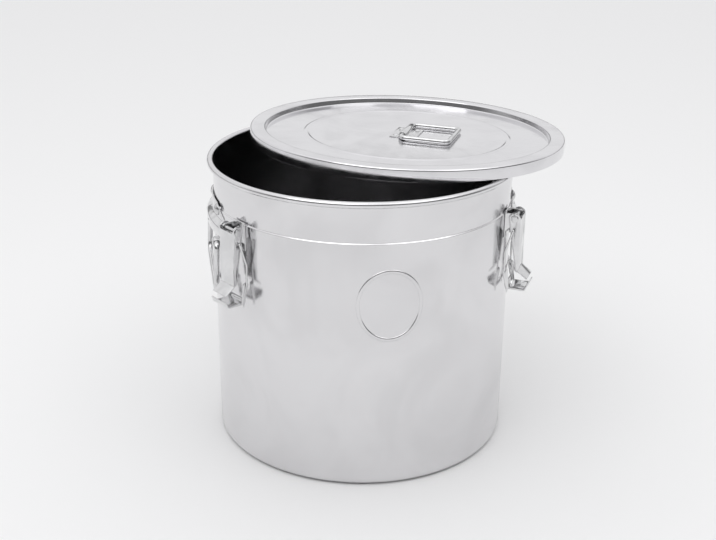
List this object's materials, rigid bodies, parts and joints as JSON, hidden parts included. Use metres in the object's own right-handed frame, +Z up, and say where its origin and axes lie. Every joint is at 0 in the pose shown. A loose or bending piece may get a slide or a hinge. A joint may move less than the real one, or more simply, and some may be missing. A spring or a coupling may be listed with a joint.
{
  "type": "food storage bucket",
  "caption": "Round stainless steel food bucket with rolled rim, folding side bails, over-centre claw latches and a lift-off pressed lid with a folding wire grip, shown slid ajar.",
  "frame": {"origin": "centre of the flat ring that the bucket stands on", "axes": "+Z up along the bucket's axis, -Y towards the front, midway between the two front latches"},
  "size_m": [0.3774, 0.3661, 0.3106],
  "materials": {
    "bucket_steel": "satin stainless sheet, nearly a mirror, with fine upright bands",
    "lid_steel": "polished stainless sheet",
    "fitting_steel": "bright polished stainless pressings",
    "wire_steel": "bright drawn stainless wire",
    "rivet_steel": "bright stainless, lightly scuffed",
    "seal_silicone": "matt milky silicone"
  },
  "bodies": {
    "bucket": {"bucket_body": "bucket_steel", "rim_wire": "bucket_steel", "left_latch_base": "fitting_steel", "left_latch_base_rivets": "rivet_steel", "left_latch_pivot_pin": "rivet_steel", "right_latch_base": "fitting_steel", "right_latch_base_rivets": "rivet_steel", "right_latch_pivot_pin": "rivet_steel", "rear_latch_base": "fitting_steel", "rear_latch_base_rivets": "rivet_steel", "rear_latch_pivot_pin": "rivet_steel", "left_handle_plate": "fitting_steel", "left_handle_rivets": "rivet_steel", "right_handle_plate": "fitting_steel", "right_handle_rivets": "rivet_steel"},
    "left_lever": {"left_latch_lever": "fitting_steel"},
    "left_claw": {"left_latch_claw": "fitting_steel", "left_latch_spring_wires": "wire_steel"},
    "right_lever": {"right_latch_lever": "fitting_steel"},
    "right_claw": {"right_latch_claw": "fitting_steel", "right_latch_spring_wires": "wire_steel"},
    "rear_lever": {"rear_latch_lever": "fitting_steel"},
    "rear_claw": {"rear_latch_claw": "fitting_steel", "rear_latch_spring_wires": "wire_steel"},
    "left_bail": {"left_handle_bail": "wire_steel"},
    "right_bail": {"right_handle_bail": "wire_steel"},
    "lid": {"lid_shell": "lid_steel", "lid_seal": "seal_silicone", "lid_strap": "fitting_steel", "lid_strap_rivets": "rivet_steel"},
    "grip": {"lid_grip": "wire_steel"}
  },
  "joints": [
    {"name": "left_lever_hinge", "type": "hinge", "parent": "bucket", "child": "left_lever", "pos_m": [-0.13856, -0.08, 0.2475], "axis": [-0.5, 0.866, 0], "range_deg": [0, 100]},
    {"name": "left_claw_hinge", "type": "hinge", "parent": "left_lever", "child": "left_claw", "pos_m": [-0.13856, -0.08, 0.2365], "axis": [-0.5, 0.866, 0], "range_deg": [0, 80]},
    {"name": "right_lever_hinge", "type": "hinge", "parent": "bucket", "child": "right_lever", "pos_m": [0.13856, -0.08, 0.2475], "axis": [-0.5, -0.866, 0], "range_deg": [0, 100]},
    {"name": "right_claw_hinge", "type": "hinge", "parent": "right_lever", "child": "right_claw", "pos_m": [0.13856, -0.08, 0.2365], "axis": [-0.5, -0.866, 0], "range_deg": [0, 80]},
    {"name": "rear_lever_hinge", "type": "hinge", "parent": "bucket", "child": "rear_lever", "pos_m": [0, 0.16, 0.2475], "axis": [1, 0, 0], "range_deg": [0, 100]},
    {"name": "rear_claw_hinge", "type": "hinge", "parent": "rear_lever", "child": "rear_claw", "pos_m": [0, 0.16, 0.2365], "axis": [1, 0, 0], "range_deg": [0, 80]},
    {"name": "left_bail_hinge", "type": "hinge", "parent": "bucket", "child": "left_bail", "pos_m": [-0.1513, 0, 0.224], "axis": [0, 1, 0], "range_deg": [0, 160]},
    {"name": "right_bail_hinge", "type": "hinge", "parent": "bucket", "child": "right_bail", "pos_m": [0.1513, 0, 0.224], "axis": [0, -1, 0], "range_deg": [0, 160]},
    {"name": "lid_lift", "type": "slide", "parent": "bucket", "child": "lid", "axis": [0, 0, 1], "range_m": [0, 0.2]},
    {"name": "grip_hinge", "type": "hinge", "parent": "lid", "child": "grip", "pos_m": [0.05498, 0.04779, 0.30021], "axis": [-0.4378, -0.8983, 0.0384], "range_deg": [0, 180]}
  ]
}
